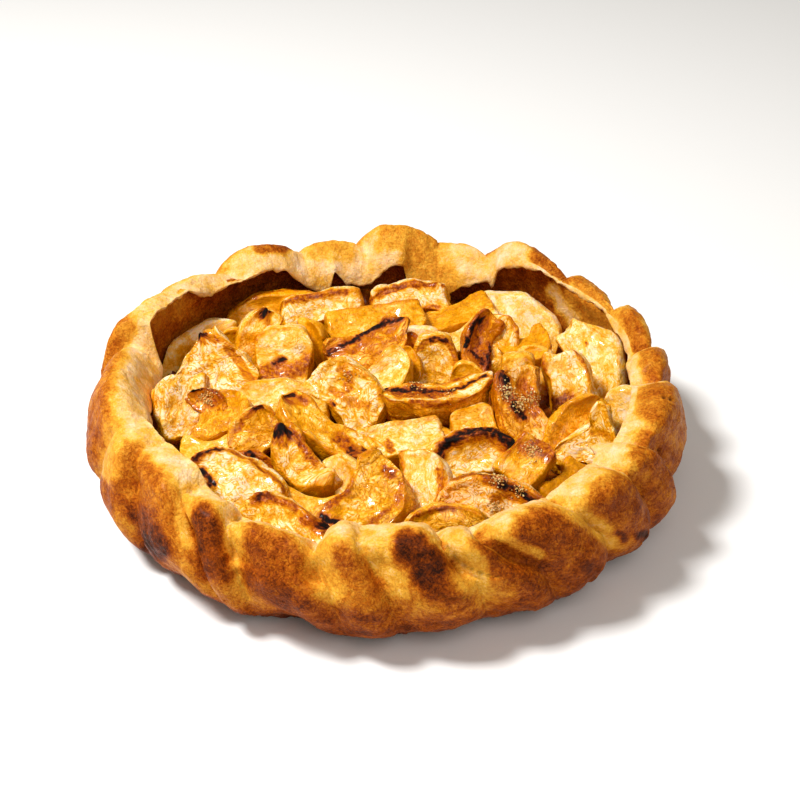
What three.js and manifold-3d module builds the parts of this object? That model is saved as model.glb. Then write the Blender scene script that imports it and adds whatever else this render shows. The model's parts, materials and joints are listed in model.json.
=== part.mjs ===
// A round rustic fruit galette: a deep pastry shell with a rope-pleated rim folded
// inwards, filled to the brim with baked apple pieces.
//
// Millimetres, +Z up. The origin is the middle of the flat underside.
// Angles are degrees, counter-clockwise seen from above, from +X. The front is at -Y.

import * as THREE from 'three';
import { mergeVertices } from 'three/addons/utils/BufferGeometryUtils.js';
import Module from 'manifold-3d';

const wasm = await Module();
wasm.setup();

// ---------------------------------------------------------------- driving sizes

const BULGE_RADIUS = 139; // widest line of the crust, on a pleat
const BULGE_HEIGHT = 26;
const BASE_RADIUS = 118; // edge of the flat underside
const CREST_RADIUS = 126; // top line of the rim
const WALL_RADIUS = 124; // inside of the shell, under the rim
const FLOOR_THICKNESS = 5;
const GROOVE_DEPTH = 6.5; // how far a groove lies inside the pleats at the bulge
const PLEAT_PEAK = 0.62; // where a pleat is fullest, as a share of its width
const LIP_THICKNESS = 2.6;
const COLUMN_SPACING = 3.5; // degrees between two columns of crust points
const CLEARANCE = 0.3; // gap between touching solids
const ABOVE = 90; // a height well clear of everything
const HEAP_HEIGHT = 27; // top of the fruit that lies under the loose pieces
const HEAP_LUMP = 5;
const CORE_SHARE = 0.4; // thickness of a piece at the core, as a share of that at the peel

const rad = THREE.MathUtils.degToRad;
const { lerp, smoothstep } = THREE.MathUtils;

// ---------------------------------------------------------------- materials

const material = (color, roughness) =>
  new THREE.MeshStandardMaterial({ color, roughness, metalness: 0 });

const crustMaterial = material('#c98a3e', 0.5);
const fillingMaterial = material('#c98a26', 0.35);
const appleMaterials = {
  cream: material('#efcf8d', 0.45),
  golden: material('#dd9d2c', 0.35),
  brown: material('#a9601f', 0.4),
};

// ---------------------------------------------------------------- solids from grids

// A closed solid from rows of points that run round the same way, each row with as many
// points as the next. The first and the last row are closed by a fan round their middle.
function solidFromRows(rows) {
  const columns = rows[0].length;
  const points = rows.flat();
  const faces = [];
  for (let r = 0; r + 1 < rows.length; r++) {
    for (let c = 0; c < columns; c++) {
      const d = (c + 1) % columns;
      const a = r * columns;
      const b = a + columns;
      faces.push(a + c, a + d, b + d, a + c, b + d, b + c);
    }
  }
  const cap = (row, turned) => {
    const start = row * columns;
    const middle = new THREE.Vector3();
    rows[row].forEach((point) => middle.addScaledVector(point, 1 / columns));
    const centre = points.push(middle) - 1;
    for (let c = 0; c < columns; c++) {
      const d = (c + 1) % columns;
      if (turned) faces.push(start + d, start + c, centre);
      else faces.push(start + c, start + d, centre);
    }
  };
  cap(0, true);
  cap(rows.length - 1, false);
  const geometry = new THREE.BufferGeometry();
  geometry.setFromPoints(points);
  geometry.setIndex(faces);
  return solidFromGeometry(geometry);
}

function solidFromGeometry(geometry) {
  const merged = mergeVertices(geometry, 1e-4);
  return new wasm.Manifold(
    new wasm.Mesh({
      numProp: 3,
      vertProperties: new Float32Array(merged.attributes.position.array),
      triVerts: new Uint32Array(merged.index.array),
    }),
  );
}

function meshFromSolid(name, solid, look) {
  const { vertProperties, triVerts } = solid.getMesh();
  const geometry = new THREE.BufferGeometry();
  geometry.setAttribute('position', new THREE.BufferAttribute(vertProperties, 3));
  geometry.setIndex(new THREE.BufferAttribute(triVerts, 1));
  geometry.computeVertexNormals();
  const mesh = new THREE.Mesh(geometry, look);
  mesh.name = name;
  return mesh;
}

const polar = (radius, angle, height) =>
  new THREE.Vector3(radius * Math.cos(rad(angle)), radius * Math.sin(rad(angle)), height);

// ---------------------------------------------------------------- pastry shell

// The pleats of the rim, from the groove where each one starts.
//   at     angle of the groove on the rim
//   slant  how many degrees the groove has turned where it reaches the bulge
//   dip    height of the rim's top in the groove
//   crest  height of the rim's top on the pleat
//   lip    height of the inner edge on the pleat
//   reach  radius of the inner edge on the pleat
//   notch  how far the inner edge sinks in the groove
//   swell  how far the pleat stands out from the mean bulge
//   deep   how far the groove lies inside the pleats, where it isn't the usual depth
const pleats = [
  { at: 9, slant: 7, dip: 51, crest: 59, lip: 58, reach: 113, notch: 5, swell: 0 },
  { at: 27, slant: 8, dip: 51, crest: 55.5, lip: 53, reach: 111, notch: 3, swell: 1 },
  { at: 44, slant: 8, dip: 52, crest: 62, lip: 55, reach: 112, notch: 3, swell: 0 },
  { at: 65, slant: 8, dip: 50, crest: 54, lip: 49, reach: 110, notch: 1, swell: 0 },
  { at: 78, slant: 8, dip: 53, crest: 63, lip: 50, reach: 110, notch: 1, swell: 0 },
  { at: 96, slant: 8, dip: 51, crest: 55, lip: 49, reach: 110, notch: 1, swell: 0 },
  { at: 112, slant: 8, dip: 51, crest: 61, lip: 54, reach: 111, notch: 2, swell: 0 },
  { at: 132, slant: 9, dip: 52, crest: 60, lip: 59, reach: 116, notch: 6, swell: 1.5 },
  { at: 158, slant: 9, dip: 64, crest: 63, lip: 61, reach: 117, notch: 2, swell: 2 },
  { at: 169, slant: 5, dip: 51, crest: 60, lip: 57, reach: 115, notch: 6, swell: 1, deep: 10 },
  { at: 203, slant: -3, dip: 56, crest: 59, lip: 56, reach: 113, notch: 2, swell: 1 },
  { at: 212, slant: 5, dip: 55, crest: 59, lip: 56, reach: 111, notch: 1, swell: 0 },
  { at: 228, slant: 8, dip: 52, crest: 58, lip: 52, reach: 111, notch: 3, swell: 0 },
  { at: 239, slant: 4, dip: 50, crest: 56, lip: 48, reach: 110, notch: 3, swell: 0 },
  { at: 256, slant: 4, dip: 45, crest: 57, lip: 51, reach: 110, notch: 9, swell: 0 },
  { at: 265, slant: 5, dip: 54, crest: 58, lip: 52, reach: 111, notch: 1, swell: 0 },
  { at: 280, slant: 6, dip: 49, crest: 54, lip: 47, reach: 111, notch: 4, swell: -1 },
  { at: 287, slant: 11, dip: 50, crest: 57, lip: 50, reach: 111, notch: 3, swell: 0 },
  { at: 306, slant: 7, dip: 51, crest: 58, lip: 51, reach: 110, notch: 3, swell: 0 },
  { at: 322, slant: 4, dip: 51, crest: 58, lip: 50, reach: 108, notch: 4, swell: 0 },
  { at: 331, slant: 6, dip: 50, crest: 59, lip: 53, reach: 111, notch: 5, swell: -1, deep: 9 },
  { at: 357, slant: 7, dip: 49, crest: 57, lip: 53, reach: 112, notch: 6, swell: -1, deep: 9 },
];

// Flat stretches of the foot: middle, half width and how far they lie inside the round.
const flats = [
  { at: 227, spread: 8, depth: 6 },
  { at: 250, spread: 9, depth: 7 },
  { at: 284, spread: 15, depth: 5 },
  { at: 313, spread: 11, depth: 5 },
];

// Flaps of thin dough that hang down from the inner edge: middle, half width and length.
const flaps = [
  { at: 110, spread: 4.5, length: 15 },
  { at: 99.5, spread: 4.5, length: 14 },
  { at: 80, spread: 6, length: 13 },
  { at: 71, spread: 7, length: 15 },
];

// How full a pleat is across its width: 0 in both grooves, a slow rise and a quick fall.
function fullness(share) {
  const fromPeak = share < PLEAT_PEAK
    ? (PLEAT_PEAK - share) / PLEAT_PEAK
    : (share - PLEAT_PEAK) / (1 - PLEAT_PEAK);
  return 1 - Math.abs(fromPeak) ** 2.2;
}

// How far the flaps pull the inner edge down at an angle.
function flapDrop(angle) {
  return Math.max(
    0,
    ...flaps.map(({ at, spread, length }) =>
      length * (1 - smoothstep(Math.abs(angle - at), 0.3 * spread, spread)),
    ),
  );
}

// How far the foot of the shell lies inside its round outline at an angle.
const flatDepth = (angle) =>
  Math.max(
    0,
    ...flats.map(({ at, spread, depth }) => depth * (1 - smoothstep(Math.abs(angle - at), 0, spread))),
  );

// The columns of points that make up the shell: several to each pleat, on its grooves too.
const columns = pleats.flatMap((pleat, index) => {
  const next = pleats[(index + 1) % pleats.length];
  const before = pleats[(index + pleats.length - 1) % pleats.length];
  const width = (next.at - pleat.at + 360) % 360;
  const steps = Math.max(4, Math.round(width / COLUMN_SPACING));
  return Array.from({ length: steps }, (_, step) => {
    const share = step / steps;
    const full = fullness(share);
    const angle = pleat.at + width * share;
    const neighbour = share < PLEAT_PEAK ? before : next;
    const side = 0.5 * (1 - full);
    const groove = share < PLEAT_PEAK ? pleat : next;
    const crest = lerp(groove.dip, pleat.crest, full);
    const lip = lerp(pleat.lip, neighbour.lip, side) - groove.notch * (1 - full);
    return {
      angle,
      slant: lerp(pleat.slant, next.slant, share),
      crest,
      lip: Math.min(lip, crest - 1) - flapDrop(angle),
      reach: lerp(pleat.reach, neighbour.reach, side),
      swell: lerp(pleat.swell, neighbour.swell, side),
      groove: (1 - full) * (groove.deep ?? GROOVE_DEPTH),
      flat: flatDepth(angle + groove.slant),
    };
  });
});

// Half a section through the shell at one column, as points of radius, height and the share
// of the groove's slant, from the middle of the underside over the rim to the floor.
function shellSection({ crest, lip, reach, swell, groove, flat }) {
  const inset = groove - swell;
  const hang = Math.max(0, crest - lip);
  const outside = [
    [BASE_RADIUS - flat, 0, 1.5],
    [BASE_RADIUS + 6 - 0.1 * inset - flat, 3.5, 1.5],
    [BULGE_RADIUS - 5 - 0.5 * inset - 0.9 * flat, 13, 1.4],
    [BULGE_RADIUS - inset - 0.4 * flat, BULGE_HEIGHT, 1.15],
    [BULGE_RADIUS - 1 - inset, 36, 0.9],
    [BULGE_RADIUS - 4.5 - inset, crest - 11, 0.55],
    [CREST_RADIUS + 5 - 0.6 * inset, crest - 3, 0.2],
    [CREST_RADIUS - 1, crest, 0],
  ];
  const lipTop = [
    [lerp(CREST_RADIUS, reach, 0.45), crest - 0.16 * hang, 0],
    [lerp(CREST_RADIUS, reach, 0.85), crest - 0.6 * hang, 0],
    [reach, lip + 1, 0],
  ];
  const inside = [
    [reach + 0.4, lip - 0.6, 0],
    [reach + LIP_THICKNESS, lip + 0.4, 0],
    [lerp(CREST_RADIUS, reach, 0.5), Math.max(lip, crest - 0.45 * hang - 7), 0],
    [WALL_RADIUS - 3, Math.max(lip, crest - 9) - 2, 0],
    [WALL_RADIUS, 33, 0],
    [WALL_RADIUS - 2, 14, 0],
    [WALL_RADIUS - 14, FLOOR_THICKNESS, 0],
  ];
  return { outside, lipTop, inside };
}

function shellRows(section) {
  const sections = columns.map((column) => section(column));
  return sections[0].map((_, row) =>
    columns.map(({ angle, slant }, index) => {
      const [radius, height, turn] = sections[index][row];
      return polar(radius, angle + turn * slant, height);
    }),
  );
}

const shell = solidFromRows(
  shellRows((column) => {
    const { outside, lipTop, inside } = shellSection(column);
    return [...outside, ...lipTop, ...inside];
  }),
);

// The space that the shell leaves for the fruit, a little inside its walls and open above.
const hollow = solidFromRows(
  shellRows((column) => {
    const { inside } = shellSection(column);
    const shrunk = inside.map(([radius, height, turn], index) => [
      radius - CLEARANCE * (index === 1 ? 2 : 1.5),
      height + (index > 4 ? CLEARANCE : -CLEARANCE),
      turn,
    ]);
    const mouth = column.reach - 1.5 * CLEARANCE;
    return [[mouth, ABOVE, 0], [mouth, column.lip + 1, 0], ...shrunk.slice(1)].reverse();
  }),
);

// ---------------------------------------------------------------- fruit underneath

// The bed of fruit under the loose pieces: one heap with a lumpy top, fitted to the shell.
function heapHeight(x, y) {
  const wave = Math.sin(x / 9 + Math.sin(y / 13)) * Math.cos(y / 8 - Math.sin(x / 15));
  const fall = smoothstep(Math.hypot(x, y), 60, WALL_RADIUS);
  return HEAP_HEIGHT + HEAP_LUMP * wave - 4 * fall;
}

function heap(grow) {
  const steps = 32;
  const around = (radius, height) =>
    Array.from({ length: steps }, (_, step) => {
      const point = polar(radius, (360 * step) / steps, 0);
      point.z = height ?? heapHeight(point.x, point.y) + grow;
      return point;
    });
  const side = [
    [WALL_RADIUS - 14.5, FLOOR_THICKNESS + CLEARANCE],
    [WALL_RADIUS - 2.8, 14],
  ];
  const rings = [WALL_RADIUS - 2.5, 104, 80, 54, 28];
  return solidFromRows([
    ...side.map(([radius, height]) => around(radius + grow, height)),
    ...rings.map((radius, ring) => around(ring === 0 ? radius + grow : radius)),
  ]);
}

// ---------------------------------------------------------------- apple pieces

// A piece of a cored and peeled apple quarter. Its own X runs from the stem end to the
// blossom end, Z from the core to the peel side and Y across, between the two cut faces.
//   size    length, core to peel, and thickness at the peel side
//   blunt   1.5 for a peak, 2.6 for the ends of a half moon and more for a block
function applePiece({ size, blunt = 2.6 }, grow = 0) {
  const [long, deep, thick] = size;
  const stations = long < 32 ? 5 : 6;
  return Array.from({ length: stations }, (_, station) => {
    const along = (2 * station) / (stations - 1) - 1;
    const t = 0.97 * (1.3 * along - 0.3 * along ** 3);
    const round = (1 - Math.abs(t) ** blunt) ** (1 / blunt);
    const core = 0.14 * deep * Math.max(0, 1 - (t / 0.6) ** 2);
    const peel = Math.max(deep * round, core + 0.25 * deep);
    const width = thick * (0.55 + 0.45 * round);
    const x = 0.5 * long * t + grow * along;
    const half = (part) => 0.5 * width * lerp(CORE_SHARE, 1, part) + grow;
    const bottom = core - grow;
    const top = peel + grow;
    const profile = [
      [half(0), bottom],
      [half(0.6) + 0.4, lerp(bottom, top, 0.5)],
      [half(0.95), lerp(bottom, top, 0.85)],
      [0.3 * width, top + 0.06 * thick],
    ];
    const mirrored = profile.map(([y, z]) => [-y, z]).reverse();
    return [...profile, ...mirrored].map(([y, z]) => new THREE.Vector3(x, y, z - 0.5 * deep));
  });
}

// Turns and places a piece: its cut face looks along the bearing and elevation in "faces",
// and its peel side points "spin" degrees round from the right-hand side of that face.
function placed(rows, { at, faces, spin }) {
  const [bearing, elevation] = faces.map(rad);
  const outward = new THREE.Vector3(
    Math.cos(bearing) * Math.cos(elevation),
    Math.sin(bearing) * Math.cos(elevation),
    Math.sin(elevation),
  );
  const right = new THREE.Vector3(-Math.sin(bearing), Math.cos(bearing), 0);
  const up = outward.clone().cross(right);
  const peelward = right.clone().multiplyScalar(Math.cos(rad(spin)));
  peelward.addScaledVector(up, Math.sin(rad(spin)));
  const lengthways = outward.clone().negate().cross(peelward);
  const frame = new THREE.Matrix4().makeBasis(lengthways, outward.negate(), peelward);
  frame.setPosition(...at);
  return rows.map((row) => row.map((point) => point.clone().applyMatrix4(frame)));
}

// The loose pieces, those that lie on top of their neighbours first.
const pieces = {
  boat: { look: 'golden', at: [22, -8, 41], faces: [-90, 70], spin: -82, size: [54, 19, 23] },
  long_wedge: { look: 'golden', at: [-28, -37, 42], faces: [-80, 62], spin: -132, size: [54, 19, 18] },
  small_charred: { look: 'brown', at: [-84, -6, 42], faces: [-80, 52], spin: 38, size: [23, 12, 12] },
  half_moon_front: { look: 'golden', at: [-8, -83, 39], faces: [-80, 54], spin: -50, size: [43, 22, 15] },
  tall_dark_tip: { look: 'golden', at: [-38, -56, 40], faces: [-92, 45], spin: -140, size: [39, 17, 13] },
  knobbly: { look: 'cream', at: [-17, -3, 40], faces: [-90, 52], spin: 42, size: [40, 23, 20], blunt: 3.4 },
  crescent: { look: 'golden', at: [38, -49, 40], faces: [-90, 42], spin: 94, size: [46, 21, 16] },
  black_lined: { look: 'brown', at: [44, 43, 40], faces: [-105, 40], spin: 175, size: [32, 16, 15] },
  spiked: { look: 'cream', at: [-83, 27, 38], faces: [-98, 50], spin: 99, size: [46, 34, 18], blunt: 1.5 },
  charred_lump: {
    look: 'cream', at: [-51, 37, 36], faces: [-90, 50], spin: 90, size: [28, 31, 20], blunt: 4.2,
  },
  upright_dark_tip: { look: 'cream', at: [-67, 44, 37], faces: [-98, 36], spin: 168, size: [42, 19, 14] },
  slab: { look: 'cream', at: [-66, -72, 40], faces: [-95, 60], spin: 68, size: [46, 27, 14], blunt: 3.2 },
  sugared: { look: 'brown', at: [45, -81, 39], faces: [-88, 50], spin: 78, size: [49, 20, 17] },
  flat_charred_end: { look: 'golden', at: [-40, -96, 40], faces: [-92, 60], spin: 60, size: [42, 17, 14] },
  charred_block: {
    look: 'brown', at: [61, -16, 42], faces: [-100, 48], spin: -158, size: [39, 21, 18], blunt: 3,
  },
  browned_crescent: { look: 'brown', at: [-10, 41, 40], faces: [-90, 48], spin: -66, size: [43, 18, 14] },
  back_wedge_left: {
    look: 'cream', at: [-35, 79, 38], faces: [-90, 50], spin: 101, size: [44, 16, 16], blunt: 4,
  },
  back_wedge_right: {
    look: 'cream', at: [10, 89, 38], faces: [-90, 48], spin: 91, size: [43, 15, 16], blunt: 3.6,
  },
  ragged_brown: { look: 'brown', at: [11, 44, 38], faces: [-90, 50], spin: 60, size: [15, 10, 10] },
  dark_rimmed: {
    look: 'cream', at: [23, 33, 36], faces: [-92, 42], spin: 90, size: [22, 28, 14], blunt: 3.4,
  },
  right_block: {
    look: 'cream', at: [85, 10, 38], faces: [-92, 48], spin: 10, size: [33, 21, 17], blunt: 4.2,
  },
  sugar_brown: {
    look: 'golden', at: [62, -54, 39], faces: [-92, 56], spin: -48, size: [24, 19, 16], blunt: 4.6,
  },
  olive_slice: { look: 'golden', at: [82, -25, 38], faces: [-96, 45], spin: 153, size: [44, 21, 12] },
  peaked: { look: 'cream', at: [92, -35, 38], faces: [-108, 42], spin: 82, size: [30, 33, 18], blunt: 1.5 },
  round_faced: {
    look: 'cream', at: [-96, -8, 36], faces: [-85, 40], spin: 180, size: [33, 23, 20], blunt: 4.2,
  },
  front_upright: {
    look: 'cream', at: [15, -71, 37], faces: [-100, 48], spin: 4, size: [36, 23, 14], blunt: 3.2,
  },
  crust_edge_wedge: { look: 'golden', at: [24, -96, 39], faces: [-90, 55], spin: 94, size: [38, 15, 14] },
  golden_bit: { look: 'brown', at: [-56, -54, 39], faces: [-90, 52], spin: 62, size: [19, 12, 11] },
  striped: {
    look: 'golden', at: [-59, -33, 40], faces: [-100, 48], spin: 126, size: [29, 23, 16], blunt: 3,
  },
  pale_flat: {
    look: 'cream', at: [2, -38, 39], faces: [-86, 55], spin: -82, size: [48, 20, 15], blunt: 3.4,
  },
  back_golden: {
    look: 'golden', at: [35, 75, 35], faces: [-90, 62], spin: -64, size: [40, 18, 15], blunt: 3.4,
  },
  back_pale: { look: 'cream', at: [38, 57, 34], faces: [-90, 56], spin: -62, size: [42, 18, 14] },
  golden_block: {
    look: 'golden', at: [-7, 63, 34], faces: [-90, 70], spin: -81, size: [53, 18, 18], blunt: 4.5,
  },
  mid_cream: { look: 'cream', at: [-5, 15, 37], faces: [-84, 48], spin: -56, size: [38, 20, 15] },
  small_golden: { look: 'golden', at: [10, 33, 35], faces: [-88, 40], spin: 12, size: [22, 12, 12] },
  pale_long: { look: 'cream', at: [-49, -1, 36], faces: [-92, 56], spin: 78, size: [46, 22, 16], blunt: 3 },
  smooth_back: { look: 'golden', at: [-76, -19, 34], faces: [-60, 75], spin: -30, size: [30, 26, 22] },
  pale_yellow: { look: 'golden', at: [-80, -38, 33], faces: [-100, 55], spin: -80, size: [26, 15, 14] },
  skin_side: {
    look: 'golden', at: [69, 47, 38], faces: [-80, 62], spin: -78, size: [30, 21, 18], blunt: 3.4,
  },
  ridged: { look: 'golden', at: [55, 44, 38], faces: [-78, 38], spin: -4, size: [31, 14, 13], blunt: 3.4 },
  tan_block: {
    look: 'golden', at: [62, 12, 38], faces: [-84, 50], spin: 62, size: [25, 19, 17], blunt: 3.6,
  },
  pale_slice: { look: 'cream', at: [75, 33, 31], faces: [-90, 45], spin: 24, size: [30, 15, 12] },
  right_half_moon: { look: 'cream', at: [98, 34, 32], faces: [-112, 45], spin: 20, size: [50, 28, 11] },
  back_half_moon: { look: 'cream', at: [66, 78, 32], faces: [-85, 38], spin: 66, size: [54, 27, 12] },
  small_pale: { look: 'cream', at: [14, 54, 35], faces: [-90, 50], spin: 80, size: [22, 13, 12] },
  back_small: { look: 'cream', at: [-78, 57, 34], faces: [-92, 40], spin: 90, size: [16, 12, 12] },
  left_leaning: { look: 'cream', at: [-97, 57, 25], faces: [-58, 38], spin: 110, size: [56, 25, 10] },
  behind_smooth: { look: 'golden', at: [-58, 85, 31], faces: [-88, 38], spin: 98, size: [58, 24, 10] },
  yellow_side: { look: 'golden', at: [-38, 49, 32], faces: [-90, 24], spin: 0, size: [34, 15, 13] },
  small_yellow: { look: 'golden', at: [38, -22, 37], faces: [-90, 56], spin: 96, size: [28, 15, 12] },
  under_boat: { look: 'golden', at: [38, 26, 33], faces: [-90, 45], spin: 86, size: [18, 12, 10] },
  under_flat: { look: 'golden', at: [23, -34, 34], faces: [-90, 50], spin: 70, size: [22, 15, 13] },
  small_front: { look: 'cream', at: [-24, -62, 36], faces: [-90, 48], spin: 20, size: [24, 13, 12] },
  small_brown: { look: 'brown', at: [47, -54, 34], faces: [-90, 50], spin: 84, size: [18, 10, 10] },
  wall_slice: { look: 'cream', at: [108, -11, 36], faces: [-135, 42], spin: 100, size: [40, 21, 9] },
  corner_smooth: { look: 'golden', at: [74, -63, 34], faces: [-55, 60], spin: -70, size: [32, 23, 18] },
  low_pale: { look: 'cream', at: [-33, -75, 36], faces: [-90, 52], spin: -100, size: [40, 15, 13] },
};

const isNear = (a, b) => {
  const boxA = a.boundingBox();
  const boxB = b.boundingBox();
  return [0, 1, 2].every((axis) => boxA.min[axis] < boxB.max[axis] && boxB.min[axis] < boxA.max[axis]);
};

// The largest of the bodies that a cut leaves.
const largestBody = (solid) =>
  solid.decompose().reduce((best, body) => (body.volume() > best.volume() ? body : best));

// Lays the pieces down: each one is cut by the bed, by the shell and by those before it.
function layPieces() {
  const bed = heap(CLEARANCE);
  const laid = [];
  return Object.entries(pieces).map(([name, piece]) => {
    let solid = solidFromRows(placed(applePiece(piece), piece));
    solid = solid.intersect(hollow).subtract(bed);
    for (const other of laid) {
      if (isNear(solid, other)) solid = solid.subtract(other);
    }
    laid.push(solidFromRows(placed(applePiece(piece, CLEARANCE), piece)));
    return meshFromSolid(`apple_${name}`, largestBody(solid), appleMaterials[piece.look]);
  });
}

// ---------------------------------------------------------------- the galette

const galette = new THREE.Group();
galette.name = 'galette';
galette.add(meshFromSolid('crust', shell, crustMaterial));
galette.add(meshFromSolid('fruit_bed', heap(0), fillingMaterial));
galette.add(...layPieces());

// The pleats stand out unevenly, so the whole is shifted until its box is centred.
const middle = new THREE.Box3().setFromObject(galette).getCenter(new THREE.Vector3());
galette.position.set(-middle.x, -middle.y, 0);

export default galette;
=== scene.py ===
"""Dresses the frame of an apple galette: pastry shell, bed of fruit and loose apple pieces."""

import json
import math

import bpy
import numpy as np
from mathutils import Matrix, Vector


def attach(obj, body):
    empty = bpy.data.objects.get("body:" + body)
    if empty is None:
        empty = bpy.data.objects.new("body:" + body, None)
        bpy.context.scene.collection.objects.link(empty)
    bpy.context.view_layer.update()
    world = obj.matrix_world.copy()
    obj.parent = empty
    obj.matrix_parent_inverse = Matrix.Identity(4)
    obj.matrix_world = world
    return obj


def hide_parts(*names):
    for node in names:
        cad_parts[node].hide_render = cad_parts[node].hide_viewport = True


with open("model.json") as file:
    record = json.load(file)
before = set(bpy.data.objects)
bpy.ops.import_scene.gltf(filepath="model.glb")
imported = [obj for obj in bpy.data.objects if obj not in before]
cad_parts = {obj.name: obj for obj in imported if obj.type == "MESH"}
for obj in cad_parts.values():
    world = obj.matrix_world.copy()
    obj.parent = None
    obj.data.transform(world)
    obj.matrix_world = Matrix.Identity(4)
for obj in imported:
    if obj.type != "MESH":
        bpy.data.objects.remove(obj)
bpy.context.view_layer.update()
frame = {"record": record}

MM = 0.001

# ---------------------------------------------------------------- the camera's place

FRAME_PIXELS = 800  # the frame is square
FOCAL_PIXELS = 1435
CAMERA_RISE = math.radians(34.3)
CAMERA_DISTANCE = 700  # mm, from the point that the camera looks at
CAMERA_AIM = np.array([6.03, 24.05, 20.0])

TO_CAMERA = np.array([0, -math.cos(CAMERA_RISE), math.sin(CAMERA_RISE)])
FRAME_RIGHT = np.array([1.0, 0, 0])
FRAME_UP = np.array([0, math.sin(CAMERA_RISE), math.cos(CAMERA_RISE)])
CAMERA_AT = CAMERA_AIM + CAMERA_DISTANCE * TO_CAMERA


def to_pixels(points):
    """Where points, in mm, fall in the frame: x to the right and y down."""
    seen = points - CAMERA_AT
    depth = -seen @ TO_CAMERA
    x = FRAME_PIXELS / 2 + FOCAL_PIXELS * (seen @ FRAME_RIGHT) / depth
    y = FRAME_PIXELS / 2 - FOCAL_PIXELS * (seen @ FRAME_UP) / depth
    return np.stack([x, y], -1)


# ---------------------------------------------------------------- numbers and noise

rng = np.random.default_rng(7)
ORDER = rng.permutation(256)
SLOPES = rng.normal(size=(256, 3))
SLOPES /= np.linalg.norm(SLOPES, axis=1, keepdims=True)
SEED_STEP = 31.7  # cells between the noises of two seeds
NOISE_GAIN = 1.7  # brings the noise to about -1 to 1
RIDGE_SHARPNESS = 3.2


def lerp(a, b, share):
    return a + (b - a) * share


def smoothstep(value, low, high):
    share = np.clip((value - low) / (high - low), 0, 1)
    return share * share * (3 - 2 * share)


def band(value, low, full, falling, end):
    """A share that rises from 0 at low to 1 at full, and falls to 0 again at the end."""
    return smoothstep(value, low, full) * (1 - smoothstep(value, falling, end))


def noise(points, size, seed=0):
    """Smooth noise of about -1 to 1 whose blobs have the given size."""
    scaled = points / size + SEED_STEP * seed
    cell = np.floor(scaled).astype(int)
    part = scaled - cell
    fade = part**3 * (part * (6 * part - 15) + 10)
    total = np.zeros(len(points))
    for corner in np.ndindex(2, 2, 2):
        x, y, z = ((cell + corner) & 255).T
        slope = SLOPES[ORDER[(ORDER[(ORDER[x] + y) & 255] + z) & 255]]
        weight = np.where(corner, fade, 1 - fade).prod(axis=1)
        total += weight * ((part - corner) * slope).sum(axis=1)
    return NOISE_GAIN * total


def layered(points, size, layers, seed=0):
    """Noise in several layers, each half as large and half as strong as the one before."""
    return sum(noise(points, size / 2**n, seed + n) / 2**n for n in range(layers))


def warped(points, size, strength, seed=0):
    """The points, pushed about by noise."""
    push = [noise(points, size, seed + axis) for axis in range(3)]
    return points + strength * np.stack(push, axis=1)


def ridges(points, size, seed=0):
    """Noise with sharp ridges, from 0 in the valleys to 1 on the ridges."""
    return 1 - np.clip(np.abs(noise(points, size, seed)) * RIDGE_SHARPNESS, 0, 1)


# ---------------------------------------------------------------- meshes from arrays


def add_object(name, data):
    thing = bpy.data.objects.new(name, data)
    bpy.context.scene.collection.objects.link(thing)
    return thing


def add_mesh(name, points, faces, slot, material, own, **attributes):
    """A smooth mesh piece from points in mm, with the coordinates that its grain follows and
    a float attribute for each array given."""
    mesh = bpy.data.meshes.new(name)
    mesh.from_pydata((points * MM).tolist(), [], faces)
    grain = mesh.attributes.new("own", "FLOAT_VECTOR", "POINT")
    grain.data.foreach_set("vector", own.ravel())
    for key, values in attributes.items():
        mesh.attributes.new(key, "FLOAT", "POINT").data.foreach_set("value", values)
    mesh.shade_smooth()
    mesh.materials.append(material)
    piece = add_object(name, mesh)
    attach(piece, "root")
    return piece


def stroke(points, line, radius):
    """How close points are to a line of points: 1 on it and 0 from the radius on."""
    dense = [np.array(line[0], dtype=float)[None]]
    for start, end in zip(line, line[1:]):
        dense.append(np.linspace(start, end, 9)[1:])
    nearest = np.full(len(points), 1e9)
    for mark in np.concatenate(dense):
        nearest = np.minimum(nearest, np.linalg.norm(points - mark, axis=1))
    return 1 - smoothstep(nearest, 0.35 * radius, radius)


# ---------------------------------------------------------------- materials


def colour(code):
    """A linear colour from its usual six-digit code."""
    channels = [int(code[i : i + 2], 16) / 255 for i in (0, 2, 4)]
    linear = [c / 12.92 if c < 0.04 else ((c + 0.055) / 1.055) ** 2.4 for c in channels]
    return (*linear, 1)


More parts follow.
